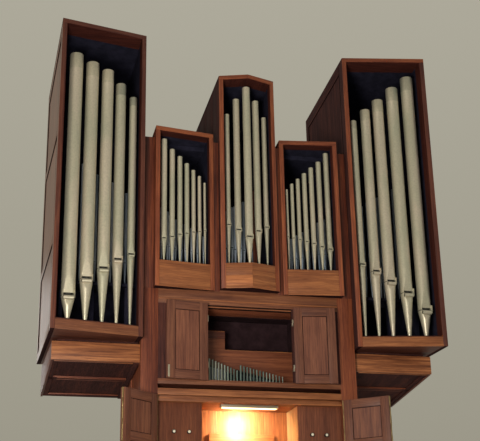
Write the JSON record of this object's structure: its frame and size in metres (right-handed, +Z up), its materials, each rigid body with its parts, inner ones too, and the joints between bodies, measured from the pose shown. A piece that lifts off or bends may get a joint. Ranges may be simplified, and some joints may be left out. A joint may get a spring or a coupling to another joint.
{
  "type": "pipe organ",
  "caption": "Wooden pipe organ with a narrow main case, hung side towers, a centre tower, side fields, a small front division behind doors, a console, a pedalboard and a bench.",
  "frame": {"origin": "on the floor under the middle of the main case's footprint", "axes": "+X to the right seen from the front, +Y from the case front to its back, +Z up"},
  "size_m": [3.93, 1.78, 5.319],
  "materials": {
    "case_wood": "satin",
    "front_wood": "satin",
    "dark_wood": "satin",
    "pedal_wood": "satin",
    "pipe_metal": "satin",
    "small_pipe_metal": "satin",
    "brass": "satin",
    "key_covering": "gloss"
  },
  "bodies": {
    "root": {"plinth": "dark_wood", "case_sides": "case_wood", "front_stiles": "case_wood", "front_rails": "front_wood", "flank_panels": "case_wood", "shelf": "front_wood", "console_panels": "case_wood", "case_top": "dark_wood", "back_panels": "dark_wood", "tower_left_sides": "case_wood", "tower_left_roof": "case_wood", "tower_left_floor": "front_wood", "tower_left_pipes": "pipe_metal", "tower_right_sides": "case_wood", "tower_right_roof": "case_wood", "tower_right_floor": "front_wood", "tower_right_pipes": "pipe_metal", "bracket_left": "front_wood", "bracket_right": "front_wood", "field_sides": "case_wood", "field_roofs": "case_wood", "field_aprons": "front_wood", "field_left_pipes": "pipe_metal", "field_right_pipes": "pipe_metal", "centre_sides": "case_wood", "centre_roof": "case_wood", "centre_apron": "front_wood", "centre_pipes": "pipe_metal", "brustwerk_shelves": "case_wood", "brustwerk_sides": "case_wood", "brustwerk_back": "front_wood", "brustwerk_pipes": "small_pipe_metal", "door_hinges": "brass", "console_sides": "front_wood", "console_backs": "front_wood", "key_table": "case_wood", "music_desk": "front_wood", "manuals": "key_covering", "stop_knobs": "key_covering", "pedalboard": "pedal_wood", "bench": "front_wood", "console_doors_left": "case_wood", "console_doors_right": "case_wood"},
    "door_left": {"brustwerk_door_left": "case_wood"},
    "door_right": {"brustwerk_door_right": "case_wood"}
  },
  "joints": [
    {"name": "door_left_hinge", "type": "hinge", "parent": "root", "child": "door_left", "pos_m": [-0.43, -0.628, 2.1], "axis": [0, 0, 1], "range_deg": [0, 172]},
    {"name": "door_right_hinge", "type": "hinge", "parent": "root", "child": "door_right", "pos_m": [0.43, -0.628, 2.1], "axis": [0, 0, -1], "range_deg": [0, 172]}
  ]
}
